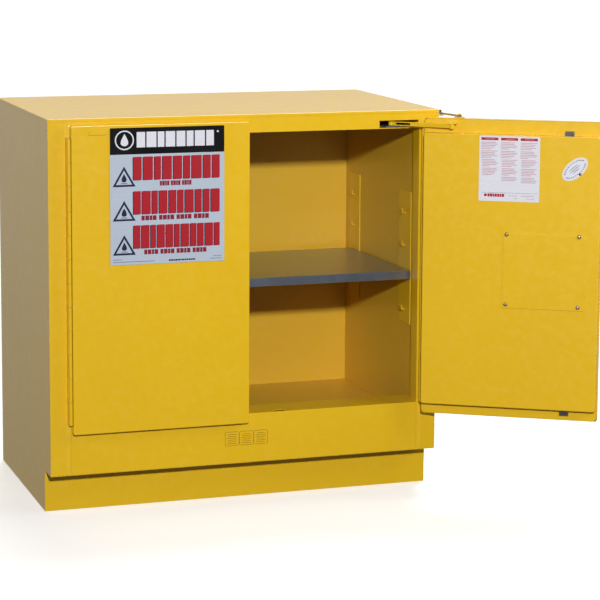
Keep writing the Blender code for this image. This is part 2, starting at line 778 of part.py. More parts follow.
def build_latch_openings(outer, inner, door):
    for name, radius, z in (("spindle", 0.0080, LEVER_Z), ("lock", 0.0112, LOCK_Z)):
        cutter = cylinder_cutter(f"{name}_hole", radius, LEVER_U, z, (-0.003, 0.006), door)
        combine(outer, cutter, "DIFFERENCE")
    for name, z in (("top", PAN_Z[1]), ("bottom", PAN_Z[0])):
        cutter = door_block(
            f"{name}_bolt_hole", 1, (BOLT_U - 0.0110, BOLT_U + 0.0110),
            (BOLT_V - 0.0050, BOLT_V + 0.0050), (z - 0.004, z + 0.004), door)
        combine(inner, cutter, "DIFFERENCE")
    cutter = door_block(
        "access_hole", 1, (0.205, 0.364), (PAN_V - 0.004, PAN_V + 0.004), (0.461, 0.606), door)
    combine(inner, cutter, "DIFFERENCE")


def build_handle(door):
    base_loops = [
        inset_loop(1, (0.342, 0.394), (0.458, 0.556), inset, v, 0.010)
        for inset, v in ((0.0, -GAP), (0.0, -0.0045), (0.0020, -0.0065))
    ]
    bm = bmesh.new()
    add_loft(bm, base_loops)
    base = add_object("handle_base", bm, door, "black")
    for name, radius, z in (("base_spindle", 0.0080, LEVER_Z), ("base_lock", 0.0112, LOCK_Z)):
        cutter = cylinder_cutter(f"{name}_hole", radius, LEVER_U, z, (-0.02, 0.01), door)
        combine(base, cutter, "DIFFERENCE")

    lever_pivot = new_empty("handle_lever_pivot", door, (-LEVER_U, -PIN_V, LEVER_Z))
    grip = [
        [(-u, v, z) for u, z in rounded_rectangle((-0.013, 0.063), (-half, half), radius)]
        for half, radius, v in (
            (0.0065, 0.0060, -0.0145), (0.0090, 0.0080, -0.0165), (0.0090, 0.0080, -0.0270),
            (0.0060, 0.0055, -0.0300),
        )
    ]
    bm = bmesh.new()
    add_loft(bm, grip)
    lever = add_object("handle_lever", bm, lever_pivot, "black")
    bm = bmesh.new()
    add_turned(
        bm, ((0.0130, -0.0170), (0.0130, -0.0068), (0.0060, -0.0068), (0.0060, 0.0240)),
        (0, 0, 0), 1, 20)
    combine(lever, add_object("handle_spindle", bm, lever_pivot), "UNION")
    for end in (-1, 1):
        cam = block_object(
            f"handle_cam_{'low' if end < 0 else 'high'}", (-0.0070, 0.0195, min(0, end * 0.026)),
            (0.0070, 0.0225, max(0, end * 0.026)), lever_pivot)
        combine(lever, cam, "UNION")

    lock_pivot = new_empty("lock_cylinder_pivot", door, (-LEVER_U, -PIN_V, LOCK_Z))
    bm = bmesh.new()
    add_turned(
        bm, ((0.0095, 0.0150), (0.0095, -0.0068), (0.0118, -0.0068), (0.0118, -0.0085),
             (0.0105, -0.0095)), (0, 0, 0), 1, 20)
    lock = add_object("lock_cylinder", bm, lock_pivot, "steel", smooth=True)
    keyway = block_object("keyway", (-0.0009, -0.0110, -0.0045), (0.0009, -0.0040, 0.0045), lock_pivot)
    combine(lock, keyway, "DIFFERENCE")


def build_bolt(name, end, door):
    """A latch bolt on its rod, with the foot that the handle's cam drives."""
    edge = PAN_Z[1] if end > 0 else PAN_Z[0]
    tip = edge + end * BOLT_REACH
    heel = edge - end * 0.045
    foot = LEVER_Z + end * 0.030
    slide = new_empty(f"{name}_slide", door, (-BOLT_U, BOLT_V - PIN_V, 0.0))
    z_low, z_high = sorted((tip, heel))
    bolt = block_object(name, (-0.010, -0.004, z_low), (0.010, 0.004, z_high), slide, "steel")
    bm = bmesh.new()
    r_low, r_high = sorted((heel + end * 0.006, foot))
    add_turned(bm, ((0.003, r_low), (0.003, r_high)), (0, 0, 0), 2, 12)
    combine(bolt, add_object(name + "_rod", bm, slide), "UNION")
    f_low, f_high = sorted((foot + end * 0.002, foot + end * 0.010))
    arm = block_object(
        name + "_foot", (-0.034, -0.0042, f_low), (0.004, -0.0012, f_high), slide)
    combine(bolt, arm, "UNION")
    return bolt


def build_latch(outer, inner, door):
    build_latch_openings(outer, inner, door)
    build_handle(door)
    build_bolt("latch_bolt_top", 1, door)
    build_bolt("latch_bolt_bottom", -1, door)
    bm = bmesh.new()
    cover = [
        inset_loop(1, (0.192, 0.377), (0.448, 0.619), inset, v, 0.004)
        for inset, v in ((0.0, PAN_V + GAP), (0.0, PAN_V + 0.0011), (0.0004, PAN_V + 0.0015))
    ]
    add_loft(bm, cover)
    add_object("access_cover", bm, door, "yellow")


def finished_points(item, depsgraph):
    """The item's corners in the world, after its cuts."""
    mesh = item.evaluated_get(depsgraph).to_mesh()
    return [item.matrix_world @ vertex.co for vertex in mesh.vertices]


def rest_on_origin(root):
    """Puts the middle of the whole cabinet's footprint over the origin."""
    depsgraph = bpy.context.evaluated_depsgraph_get()
    points = []
    for item in bpy.data.objects:
        if item.type == "MESH" and not item.hide_render:
            points.extend(finished_points(item, depsgraph))
    for axis in (0, 1):
        values = [point[axis] for point in points]
        root.location[axis] = -(min(values) + max(values)) / 2
    bpy.context.view_layer.update()


def main():
    clear_scene()
    root = new_empty("cabinet_frame")
    build_carcass(root)
    build_door("left", -1, 0.0, root)
    swing, outer, inner = build_door("right", 1, OPEN_ANGLE, root)
    build_hold_open_link(root, swing)
    build_latch(outer, inner, swing)
    rest_on_origin(root)


main()
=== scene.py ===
"""The finished look of an under-counter flammable storage cabinet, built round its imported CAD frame.

A printed sheet, such as a label, is drawn in its own plane: s runs to the right, t runs up and h runs
out of the surface that it sticks to.
"""
import json
import math

import bmesh
import bpy
from mathutils import Matrix, Vector


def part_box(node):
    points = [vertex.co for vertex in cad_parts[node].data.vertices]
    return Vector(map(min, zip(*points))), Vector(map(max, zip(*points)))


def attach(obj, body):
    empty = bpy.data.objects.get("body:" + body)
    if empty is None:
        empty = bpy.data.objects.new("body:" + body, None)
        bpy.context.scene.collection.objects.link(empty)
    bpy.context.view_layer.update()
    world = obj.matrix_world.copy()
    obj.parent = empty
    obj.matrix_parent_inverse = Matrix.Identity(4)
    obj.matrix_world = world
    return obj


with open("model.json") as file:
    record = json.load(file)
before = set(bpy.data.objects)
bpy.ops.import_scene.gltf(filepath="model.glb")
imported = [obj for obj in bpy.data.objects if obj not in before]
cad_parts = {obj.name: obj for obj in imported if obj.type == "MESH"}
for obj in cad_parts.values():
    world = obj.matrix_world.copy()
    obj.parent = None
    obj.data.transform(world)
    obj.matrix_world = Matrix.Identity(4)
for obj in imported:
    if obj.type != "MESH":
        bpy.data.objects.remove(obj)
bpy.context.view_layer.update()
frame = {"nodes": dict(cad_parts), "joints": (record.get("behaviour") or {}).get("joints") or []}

# Camera, relative to the middle of the cabinet's footprint
CAMERA_SPOT = Vector((-1.4724, -5.0566, 1.3687))
CAMERA_YAW = 0.32202
CAMERA_PITCH = -0.13720
CAMERA_ROLL = 0.00554
CAMERA_LENS = 135.19
CAMERA_SHIFT = -0.153

# Thickness of a printed film, of its ink, and the share that each higher layer of ink adds
FILM = 0.00016
INK = 0.00005
LIFT_SHARE = 0.5

# Outlines: points on a round corner and on a drop
CORNER_STEPS = 4
DROP_STEPS = 20

# Rows of small print: height and spacing of a line, and lines in a group
LINE_HEIGHT = 0.0015
LINE_PITCH = 0.0036
LINE_GROUP = 5

# Weld beads on the face frame, and how far they stop short of a sheet's edge and of a hinge leaf
BEAD_WIDTH = 0.0050
BEAD_HEIGHT = 0.00009
BEAD_STEPS = 6
BEAD_INSET = 0.0006
BEAD_GAP = 0.0010

# Screw heads
SCREW_STEPS = 24
SCREW_TOP = 0.0026
CROSS_HALF = 0.0021
CROSS_NARROW = 0.22
CROSS_DEPTH = 0.0013

# Angles in degrees above which an edge stays sharp
SHARP_ON_ROUND = 40
SHARP_ON_FLAT = 28
SHARP_ON_SCREW = 35
SHARP_ON_BEAD = 30

# Surroundings
FLOOR_HALF = 60.0
FLOOR_DROP = 0.0004
FLOOR_GLOW = 0.36
WORLD_SEEN = 1.0
WORLD_LIT = 0.12
WORLD_MIRRORED = (0.10, 0.68)

# Colours, linear
ENAMEL = (0.790, 0.485, 0.008)
ENAMEL_PALE = (0.860, 0.580, 0.060)
ENAMEL_DEEP = (0.710, 0.415, 0.006)
PRIMER = (0.560, 0.440, 0.230)
INK_BLACK = (0.002, 0.002, 0.003)
INK_NAVY = (0.018, 0.022, 0.060)
INK_RED = (0.430, 0.016, 0.026)
INK_MAROON = (0.260, 0.016, 0.040)
INK_PINK = (0.570, 0.320, 0.380)
INK_BROWN = (0.250, 0.105, 0.012)
INK_GREY = (0.200, 0.220, 0.290)
FILM_WHITE = (0.480, 0.545, 0.640)
FILM_PALE = (0.740, 0.740, 0.810)
FILM_CREAM = (0.780, 0.700, 0.480)
ZINC_LIGHT = (0.33, 0.38, 0.46)
ZINC_PALE = (0.48, 0.52, 0.58)
ZINC_STREAK = (0.22, 0.26, 0.33)
# Painted highlight colour for the zinc sheet's edges
ZINC_HIGHLIGHT = (0.80, 0.82, 0.85)
STEEL_LIGHT = (0.50, 0.50, 0.51)
STEEL_DARK = (0.30, 0.30, 0.31)
STEEL_EDGE = (0.75, 0.75, 0.74)
PLATED_LIGHT = (0.60, 0.48, 0.26)
PLATED_DARK = (0.34, 0.26, 0.13)
OILED_LIGHT = (0.16, 0.15, 0.14)
OILED_DARK = (0.07, 0.065, 0.06)
COAT_BLACK = (0.010, 0.010, 0.011)
COAT_HAZE = (0.022, 0.022, 0.024)
COAT_RUBBED = (0.16, 0.16, 0.165)
BRASS_LIGHT = (0.62, 0.46, 0.20)
BRASS_DARK = (0.34, 0.24, 0.11)
GAUZE_HOLES = (0.10, 0.065, 0.025)
PAPER = (0.90, 0.90, 0.895)
PAPER_PALE = (0.94, 0.94, 0.94)
WHITE = (1.0, 1.0, 1.0, 1.0)
FILM_GLOSS = 0.36

# Tints of the enamel: none outside; inside, a painted shade that makes the enamel darker and bluer, standing
# in for the shadowed interior and for the shade of the cans, which are not built
OUTSIDE_TINT = (1.0, 1.0, 1.0)
INSIDE_SHADE = (0.90, 0.875, 2.6)


def joint(name):
    return next(j for j in frame["joints"] if j["name"] == name)


# Places, from the frame
LEFT_PIN = Vector(joint("left_door")["pos_m"])
RIGHT_PIN = Vector(joint("right_door")["pos_m"])
HELD_OPEN = math.radians(-joint("right_door")["range_deg"][0])
DOOR_FACE_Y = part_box("left_door_outer")[0].y
PAN_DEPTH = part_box("left_door_inner")[1].y - DOOR_FACE_Y
PIN_DEPTH = LEFT_PIN.y - DOOR_FACE_Y
FRONT_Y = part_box("frame_stile_left")[0].y
MIDDLE_X = (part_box("outer_top")[0].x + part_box("outer_top")[1].x) / 2
MIDDLE_Y = (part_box("outer_side_left")[0].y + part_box("outer_side_left")[1].y) / 2


# Node helpers

def start_material(name, metallic=0.0, **settings):
    material = bpy.data.materials.new(name)
    material.use_nodes = True
    shader = material.node_tree.nodes["Principled BSDF"]
    shader.inputs["Metallic"].default_value = metallic
    for key, value in settings.items():
        shader.inputs[key.replace("_", " ")].default_value = value
    return material, shader


def add_node(material, kind, values=None, **settings):
    made = material.node_tree.nodes.new("ShaderNode" + kind)
    for key, value in settings.items():
        setattr(made, key, value)
    for key, value in (values or {}).items():
        target = made.inputs[key]
        if hasattr(value, "is_output"):
            material.node_tree.links.new(value, target)
        else:
            target.default_value = value
    return made


def link(material, source, target):
    material.node_tree.links.new(source, target)


def place(material, stretch=(1.0, 1.0, 1.0)):
    """The piece's own coordinates in metres, stretched."""
    coords = add_node(material, "TexCoord").outputs["Object"]
    scaled = add_node(material, "Mapping", {"Vector": coords, "Scale": stretch})
    return scaled.outputs["Vector"]


def noise(material, at, scale, detail=2.0):
    values = {"Vector": at, "Scale": scale, "Detail": detail, "Roughness": 0.5}
    return add_node(material, "TexNoise", values).outputs["Fac"]


def spread(material, value, low, high, to_low=0.0, to_high=1.0):
    made = add_node(
        material, "MapRange",
        {"Value": value, "From Min": low, "From Max": high, "To Min": to_low, "To Max": to_high},
    )
    return made.outputs["Result"]


def blend(material, factor, first, second):
    """A mix of two colours, each a colour or an output."""
    made = add_node(material, "Mix", {0: factor}, data_type="RGBA")
    for socket, colour in ((made.inputs[6], first), (made.inputs[7], second)):
        if hasattr(colour, "is_output"):
            link(material, colour, socket)
        else:
            socket.default_value = (*colour, 1.0)
    return made.outputs[2]


def multiply(material, first, second):
    made = add_node(material, "Math", {0: first, 1: second}, operation="MULTIPLY")
    return made.outputs["Value"]


def dress(material, shader, colour, roughness):
    """Sends a colour and a roughness to the shader."""
    link(material, colour, shader.inputs["Base Color"])
    link(material, roughness, shader.inputs["Roughness"])


def add_bumps(material, shader, *layers):
    """Relief from (height output, depth in metres, strength) layers."""
    normal = None
    for height, depth, strength in layers:
        values = {"Height": height, "Distance": depth, "Strength": strength}
        bump = add_node(material, "Bump", values)
        if normal is not None:
            link(material, normal, bump.inputs["Normal"])
        normal = bump.outputs["Normal"]
    link(material, normal, shader.inputs["Normal"])


def edge_mask(material, radius):
    """1 along edges, inner ones as well, and 0 on flat faces."""
    rounded = add_node(material, "Bevel", {"Radius": radius}, samples=4)
    true_normal = add_node(material, "NewGeometry").outputs["Normal"]
    values = {0: rounded.outputs["Normal"], 1: true_normal}
    facing = add_node(material, "VectorMath", values, operation="DOT_PRODUCT")
    return spread(material, facing.outputs["Value"], 0.99, 0.86)


def darker(colour, share=0.82):
    return tuple(share * value for value in colour)


def tinted(colour, tint):
    return tuple(value * share for value, share in zip(colour, tint))


# Materials

def enamel(name, gloss, wear, tint):
    """Baked yellow enamel: fine orange peel, faint cloudiness, and thin paint along the edges."""
    material, shader = start_material(name, Coat_Weight=0.25, Coat_Roughness=0.16)
    at = place(material)
    cloud = noise(material, at, 3.5, 3.0)
    mottle = noise(material, at, 60.0, 2.0)
    peel = noise(material, at, 420.0, 1.0)
    plain, deep, pale = (tinted(colour, tint) for colour in (ENAMEL, ENAMEL_DEEP, ENAMEL_PALE))
    colour = blend(material, spread(material, cloud, 0.38, 0.66, 0.0, 0.22), plain, deep)
    colour = blend(material, spread(material, mottle, 0.45, 0.75, 0.0, 0.10), colour, pale)
    edges = edge_mask(material, 0.0016)
    thin = spread(material, noise(material, at, 38.0, 4.0), 0.44, 0.62, 0.15, wear)
    colour = blend(material, multiply(material, edges, thin), colour, ENAMEL_PALE)
    chips = spread(material, noise(material, at, 150.0, 3.0), 0.66, 0.70, 0.0, 0.7)
    colour = blend(material, multiply(material, edges, chips), colour, PRIMER)
    dress(material, shader, colour, spread(material, mottle, 0.3, 0.7, gloss - 0.04, gloss + 0.05))
    add_bumps(material, shader, (cloud, 0.0006, 0.25), (peel, 0.00012, 0.35))
    return material


def galvanised(name):
    """Zinc-coated sheet with faint spangle, rolling streaks and a painted highlight, nearly white, along its
    edges.
    """
    material, shader = start_material(name, metallic=0.92)
    at = place(material)
    grains = add_node(material, "TexVoronoi", {"Vector": at, "Scale": 60.0}).outputs["Color"]
    grey = add_node(material, "SeparateColor", {"Color": grains}).outputs["Red"]
    streaks = noise(material, place(material, (0.6, 14.0, 14.0)), 22.0, 4.0)
    colour = blend(material, spread(material, grey, 0.0, 1.0, 0.0, 0.10), ZINC_LIGHT, ZINC_PALE)
    colour = blend(material, spread(material, streaks, 0.35, 0.75, 0.0, 0.12), colour, ZINC_STREAK)
    # Painted highlight: the edges are blended towards near white
    colour = blend(material, multiply(material, edge_mask(material, 0.0014), 0.9), colour, ZINC_HIGHLIGHT)
    dress(material, shader, colour, spread(material, grey, 0.0, 1.0, 0.30, 0.34))
    add_bumps(material, shader, (noise(material, at, 6.0), 0.0008, 0.10))
    return material


def zinc_steel(name, light, dark, roughness):
    """Plated steel with fine drawn lines and dull patches."""
    material, shader = start_material(name, metallic=0.95)
    at = place(material)
    patches = noise(material, at, 70.0, 3.0)
    lines = noise(material, place(material, (1.0, 1.0, 22.0)), 160.0, 2.0)
    colour = blend(material, spread(material, patches, 0.35, 0.70), light, dark)
    colour = blend(material, multiply(material, edge_mask(material, 0.0008), 0.5), colour, STEEL_EDGE)
    dress(material, shader, colour, spread(material, patches, 0.3, 0.7, roughness - 0.07, roughness + 0.1))
    add_bumps(material, shader, (lines, 0.00004, 0.3))
    return material


def black_coat(name):
    """Textured black powder coat, rubbed a little on its edges."""
    material, shader = start_material(name)
    at = place(material)
    grain = noise(material, at, 900.0, 2.0)
    haze = noise(material, at, 25.0, 3.0)
    colour = blend(material, spread(material, haze, 0.35, 0.7), COAT_BLACK, COAT_HAZE)
    colour = blend(material, multiply(material, edge_mask(material, 0.0012), 0.35), colour, COAT_RUBBED)
    dress(material, shader, colour, spread(material, haze, 0.3, 0.7, 0.36, 0.5))
    add_bumps(material, shader, (grain, 0.00015, 0.4))
    return material


def brass_gauze(name):
    """Brass with the fine square weave of a flame screen on its flat face."""
    material, shader = start_material(name, metallic=0.9)
    at = place(material)
    warp = add_node(material, "TexWave", {"Vector": at, "Scale": 130.0}, bands_direction="X")
    weft = add_node(material, "TexWave", {"Vector": at, "Scale": 130.0}, bands_direction="Z")
    weave = multiply(material, warp.outputs["Fac"], weft.outputs["Fac"])
    colour = blend(material, spread(material, weave, 0.1, 0.6), GAUZE_HOLES, BRASS_LIGHT)
    dress(material, shader, colour, spread(material, noise(material, at, 90.0), 0.3, 0.7, 0.3, 0.5))
    add_bumps(material, shader, (weave, 0.0004, 0.8))
    return material


def brass(name):
    """Dull machined brass."""
    material, shader = start_material(name, metallic=0.95)
    at = place(material)
    tarnish = noise(material, at, 140.0, 3.0)
    lines = noise(material, place(material, (14.0, 1.0, 1.0)), 300.0)
    colour = blend(material, spread(material, tarnish, 0.35, 0.7), BRASS_LIGHT, BRASS_DARK)
    dress(material, shader, colour, spread(material, tarnish, 0.3, 0.7, 0.26, 0.46))
    add_bumps(material, shader, (lines, 0.00004, 0.3))
    return material


def vinyl(name, colour, shade):
    """Printed or plain label film: nearly even, with faint print mottle and cockle."""
    material, shader = start_material(name, Specular_IOR_Level=0.3)
    at = place(material)
    mottle = noise(material, at, 240.0, 2.0)
    wash = noise(material, at, 9.0, 2.0)
    mixed = blend(material, spread(material, mottle, 0.35, 0.75, 0.0, 0.5), colour, shade)
    mixed = blend(material, spread(material, wash, 0.4, 0.7, 0.0, 0.35), mixed, shade)
    dress(material, shader, mixed, spread(material, wash, 0.3, 0.7, FILM_GLOSS - 0.05, FILM_GLOSS + 0.06))
    add_bumps(material, shader, (wash, 0.0003, 0.2))
    return material


def studio_floor(name):
    """Pale matt floor paper."""
    material, shader = start_material(name, Roughness=0.85)
    fibres = noise(material, place(material), 6.0, 3.0)
    link(material, blend(material, fibres, PAPER, PAPER_PALE), shader.inputs["Base Color"])
    shader.inputs["Emission Color"].default_value = WHITE
    shader.inputs["Emission Strength"].default_value = FLOOR_GLOW
    return material


def make_materials():
    inks = {
        "film_white": FILM_WHITE, "film_pale": FILM_PALE, "black": INK_BLACK, "navy": INK_NAVY,
        "red": INK_RED, "maroon": INK_MAROON, "pink": INK_PINK, "brown": INK_BROWN, "grey": INK_GREY,
        "cream": FILM_CREAM,
    }
    made = {name: vinyl(f"print_{name}", colour, darker(colour)) for name, colour in inks.items()}
    made["enamel"] = enamel("yellow_enamel", gloss=0.34, wear=0.55, tint=OUTSIDE_TINT)
    # The inside enamel is a painted shade: the same enamel, darkened and made bluer by the inside shade tint
    made["inside"] = enamel("yellow_enamel_inside_shaded", gloss=0.42, wear=0.3, tint=INSIDE_SHADE)
    made["zinc_sheet"] = galvanised("galvanised_sheet")
    made["steel"] = zinc_steel("plated_steel", STEEL_LIGHT, STEEL_DARK, roughness=0.32)
    made["plated_screw"] = zinc_steel("yellow_plated_steel", PLATED_LIGHT, PLATED_DARK, roughness=0.34)
    made["dark_steel"] = zinc_steel("oiled_steel", OILED_LIGHT, OILED_DARK, roughness=0.42)
    made["black_coat"] = black_coat("black_powder_coat")
    made["gauze"] = brass_gauze("brass_gauze")
    made["brass"] = brass("brass_machined")
    return made


# Finish of the CAD nodes

SIDES = ("left", "right")
PINS = tuple(f"{side}_hinge_pin" for side in SIDES)
LEAVES = tuple(f"{side}_hinge_{part}_leaf" for side in SIDES for part in ("frame", "door"))
SLIDERS = tuple(f"{side}_closer_slider" for side in SIDES)
FEET = tuple(f"foot_{side}_{end}" for side in SIDES for end in ("front", "rear"))
SCREENS = ("flame_screen_upper", "flame_screen_lower")
HANDLE = ("handle_base", "handle_lever")
FINISHES = {
    "zinc_sheet": ("shelf", "left_closer_track", "right_closer_track"),
    "dark_steel": ("latch_bolt_top", "latch_bolt_bottom"),
    "black_coat": HANDLE,
    "gauze": SCREENS,
    "brass": ("ground_stud",),
    # The liner and the sump floor take the painted-shade copy of the enamel
    "inside": ("inner_side_left", "inner_side_right", "inner_back", "inner_top", "sump_floor"),
    "steel": ("right_fusible_link", "lock_cylinder", *PINS, *SLIDERS, *FEET),
}
ROUND = (
    "lock_cylinder", "ground_stud", "vent_cap_upper", "vent_cap_lower",
    *PINS, *LEAVES, *FEET, *SCREENS, *HANDLE,
)
EDGE_ROUNDING = 0.0003


def finish_cad_nodes(materials):
    chosen = {node: name for name, nodes in FINISHES.items() for node in nodes}
    for name, item in frame["nodes"].items():
        item.data.materials.clear()
        item.data.materials.append(materials[chosen.get(name, "enamel")])
        soften_edges(item, name in ROUND)


def soften_edges(item, is_round):
    """Rounds the arrises a little and shades the curved faces smooth."""
    limit = math.radians(SHARP_ON_ROUND if is_round else SHARP_ON_FLAT)
    rounding = item.modifiers.new("arrises", "BEVEL")
    rounding.width = EDGE_ROUNDING
    rounding.segments = 2
    rounding.limit_method = "ANGLE"
    rounding.angle_limit = limit
    rounding.use_clamp_overlap = True
    shade(item, limit)


def shade(item, limit):
    """Smooth shading that stops at edges sharper than the limit."""
    item.data.shade_smooth()
    item.data.set_sharp_from_angle(angle=limit)


# Flat shapes for printed sheets

def rectangle(s0, t0, s1, t1, radius=0.0):
    """A rectangle's outline, counterclockwise, with round corners."""
    if radius == 0.0:
        return [(s0, t0), (s1, t0), (s1, t1), (s0, t1)]
    corners = (
        (s1 - radius, t0 + radius, -90), (s1 - radius, t1 - radius, 0),
        (s0 + radius, t1 - radius, 90), (s0 + radius, t0 + radius, 180),
    )
    outline = []
    for s, t, start in corners:
        for step in range(CORNER_STEPS + 1):
            angle = math.radians(start + 90 * step / CORNER_STEPS)
            outline.append((s + radius * math.cos(angle), t + radius * math.sin(angle)))
    return outline


def ellipse(s, t, half_long, half_short, tilt=0.0, steps=48):
    outline = []
    for step in range(steps):
        angle = 2 * math.pi * step / steps
        a, b = half_long * math.cos(angle), half_short * math.sin(angle)
        outline.append((
            s + a * math.cos(tilt) - b * math.sin(tilt),
            t + a * math.sin(tilt) + b * math.cos(tilt),
        ))
    return outline


def drop(s, t, width, height):
    """A plain drop: round below, drawn to a point above."""
    outline = []
    for step in range(DROP_STEPS):
        angle = 2 * math.pi * step / DROP_STEPS - math.pi / 2
        taper = 1 - 0.5 * (1 + math.sin(angle))
        outline.append((
            s + width / 2 * math.cos(angle) * (0.15 + 1.1 * taper),
            t + height / 2 * (1 + math.sin(angle)),
        ))
    return outline


def triangle(s, t, side):
    """An upright triangle that stands on t, its foot's middle at s."""
    height = side * math.sqrt(3) / 2
    return [(s - side / 2, t), (s + side / 2, t), (s, t + height)]


def add_slab(bm, outline, low, high, slot):
    """A closed flat slab between heights low and high."""
    rings = [[bm.verts.new((s, t, h)) for s, t in outline] for h in (low, high)]
    faces = [bm.faces.new(rings[0][::-1]), bm.faces.new(rings[1])]
    faces += bridge(bm, rings[0], rings[1])
    for face in faces:
        face.material_index = slot


def bridge(bm, low_ring, high_ring):
    """The faces between two rings of as many points."""
    count = len(low_ring)
    faces = []
    for i in range(count):
        j = (i + 1) % count
        faces.append(bm.faces.new((low_ring[i], low_ring[j], high_ring[j], high_ring[i])))
    return faces


def add_band(bm, outer, inner, low, high, slot):
    """A closed flat band between two outlines of as many points."""
    loops = [[bm.verts.new((s, t, h)) for s, t in outline] for outline, h in (
        (outer, low), (outer, high), (inner, high), (inner, low))]
    for first, second in zip(loops, loops[1:] + loops[:1]):
        for face in bridge(bm, first, second):
            face.material_index = slot


def ink(bm, outline, slot, lift=0):
    """A printed area on the film; a higher lift prints over a lower one."""
    add_slab(bm, outline, FILM - INK, FILM + INK * (1 + LIFT_SHARE * lift), slot)


def ink_band(bm, outer, inner, slot):
    """A printed outline on the film."""
    add_band(bm, outer, inner, FILM - INK, FILM + INK, slot)


def add_blocks(bm, s0, s1, t0, t1, count, slot, gap=0.16, lift=0):
    """A row of plain blocks in place of a word."""
    widths = [1 + 0.22 * math.sin(2.3 * i) for i in range(count)]
    unit = (s1 - s0) / (sum(widths) + gap * (count - 1))
    s = s0
    for width in widths:
        ink(bm, rectangle(s, t0, s + width * unit, t1), slot, lift)
        s += (width + gap) * unit


def add_lines(bm, s0, s1, top, count, slot):
    """Ragged text lines, in groups, as plain bars."""
    t = top
    for row in range(count):
        last = row % LINE_GROUP == LINE_GROUP - 1
        left = s0 + (0.0025 if row >= 2 * LINE_GROUP else 0.0)
        share = (0.55 if last else 0.88) + 0.10 * math.sin(1.7 * row + 90 * s0)
        ink(bm, rectangle(left, t - LINE_HEIGHT, left + (s1 - left) * share, t), slot)
        t -= LINE_PITCH * (1.45 if last else 1.0)


def sheet_object(name, bm, origin, across, materials, body):
    """Places a drawn sheet on its surface and lets it ride on its body."""
    mesh = bpy.data.meshes.new(name)
    bmesh.ops.recalc_face_normals(bm, faces=bm.faces)
    bm.to_mesh(mesh)
    bm.free()
    item = bpy.data.objects.new(name, mesh)
    bpy.context.scene.collection.objects.link(item)
    up = Vector((0.0, 0.0, 1.0))
    outward = across.cross(up)
    turn = Matrix((across, up, outward)).transposed()
    item.matrix_world = Matrix.Translation(origin) @ turn.to_4x4()
    for material in materials:
        mesh.materials.append(material)
    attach(item, body)
    return item


def left_door_plane():
    """Origin and direction of the left door's outer face: s counts from the hinge pin."""
    return Vector((LEFT_PIN.x, DOOR_FACE_Y, 0.0)), Vector((1.0, 0.0, 0.0))


def frame_plane():
    """Origin and direction of the face frame: s counts from the cabinet's middle."""
    return Vector((MIDDLE_X, FRONT_Y, 0.0)), Vector((1.0, 0.0, 0.0))


def right_pan_plane():
    """Origin and direction of the open right door's pan: s counts from the hinge pin."""
    across = Vector((-math.cos(HELD_OPEN), -math.sin(HELD_OPEN), 0.0))
    outward = across.cross(Vector((0.0, 0.0, 1.0)))
    pin = Vector((RIGHT_PIN.x, RIGHT_PIN.y, 0.0))
    return pin + outward * (PAN_DEPTH - PIN_DEPTH), across


# Printed sheets

def make_warning_label(materials):
    """The large label on the left door: a dark header, three signs and three rows of blocks."""
    film, black, white, navy, red, grey, maroon = range(7)
    s0, s1, t0, t1 = 0.0900, 0.3495, 0.566, 0.8685
    header = 0.810
    pitch, sign_side, word_gap = 0.0757, 0.0518, 0.20
    bm = bmesh.new()
    add_slab(bm, rectangle(s0, t0, s1, t1, 0.0015), 0.0, FILM, film)
    ink(bm, rectangle(s0, header, s1, t1, 0.0012), black)
    ring_s, ring_t = s0 + 0.0325, (header + t1) / 2 + 0.002
    add_emblem(bm, ring_s, ring_t, 0.0215, white)
    add_blocks(bm, s0 + 0.060, s1 - 0.024, ring_t - 0.0165, ring_t + 0.0175, 8, white, lift=2)
    ink(bm, ellipse(s1 - 0.015, ring_t + 0.0145, 0.0022, 0.0022, steps=16), white, 2)
    for row, (inset, words) in enumerate(((0.060, 3), (0.018, 4), (0.024, 4))):
        down = pitch * row
        add_sign(bm, s0 + 0.0312, 0.7390 - down, sign_side, navy)
        low, high = 0.7522 - down, 0.8042 - down
        # A dark shadow row under a red row
        add_blocks(bm, s0 + 0.0505, s1 - 0.0125, low, high - 0.001, 9 + row, navy, word_gap)
        add_blocks(bm, s0 + 0.0525, s1 - 0.0105, low + 0.001, high, 9 + row, red, word_gap, lift=1)
        left, right = s0 + 0.052 + inset, s1 - 0.012 - inset
        span = (right - left) / words
        for word in range(words):
            start = left + word * span
            end = start + span * 0.86
            add_blocks(bm, start, end, 0.7390 - down, 0.7495 - down, 4, maroon, lift=1)
    add_footer(bm, s0, s1, t0, grey, navy)
    names = ("film_white", "black", "film_pale", "navy", "red", "grey", "maroon")
    chosen = [materials[name] for name in names]
    item = sheet_object("warning_label", bm, *left_door_plane(), chosen, "left_door")


def add_emblem(bm, s, t, radius, slot):
    """A ring round a plain drop."""
    outer, inner = ellipse(s, t, radius, radius), ellipse(s, t, radius * 0.87, radius * 0.87)
    add_band(bm, outer, inner, FILM, FILM + INK * 2, slot)
    ink(bm, drop(s, t - radius * 0.60, radius * 0.95, radius * 1.25), slot, 2)


def add_sign(bm, s, t, side, slot):
    """A triangle with a plain drop over a bar."""
    band = side * 0.085
    ink_band(bm, triangle(s, t, side), triangle(s, t + band, side - band * 2 * math.sqrt(3)), slot)
    ink(bm, drop(s, t + side * 0.19, side * 0.27, side * 0.36), slot)
    ink(bm, rectangle(s - side * 0.14, t + side * 0.125, s + side * 0.14, t + side * 0.15), slot)


def add_footer(bm, s0, s1, t0, grey, navy):
    """Small print along the foot."""
    ink(bm, rectangle(s0 + 0.006, t0 + 0.0110, s0 + 0.026, t0 + 0.0125), grey)
    ink(bm, rectangle(s0 + 0.006, t0 + 0.0055, s0 + 0.100, t0 + 0.0070), grey)
    add_blocks(bm, s0 + 0.132, s0 + 0.192, t0 + 0.0045, t0 + 0.0080, 12, navy)
    ink(bm, rectangle(s1 - 0.026, t0 + 0.0110, s1 - 0.006, t0 + 0.0125), grey)
    ink(bm, rectangle(s1 - 0.032, t0 + 0.0055, s1 - 0.006, t0 + 0.0070), grey)


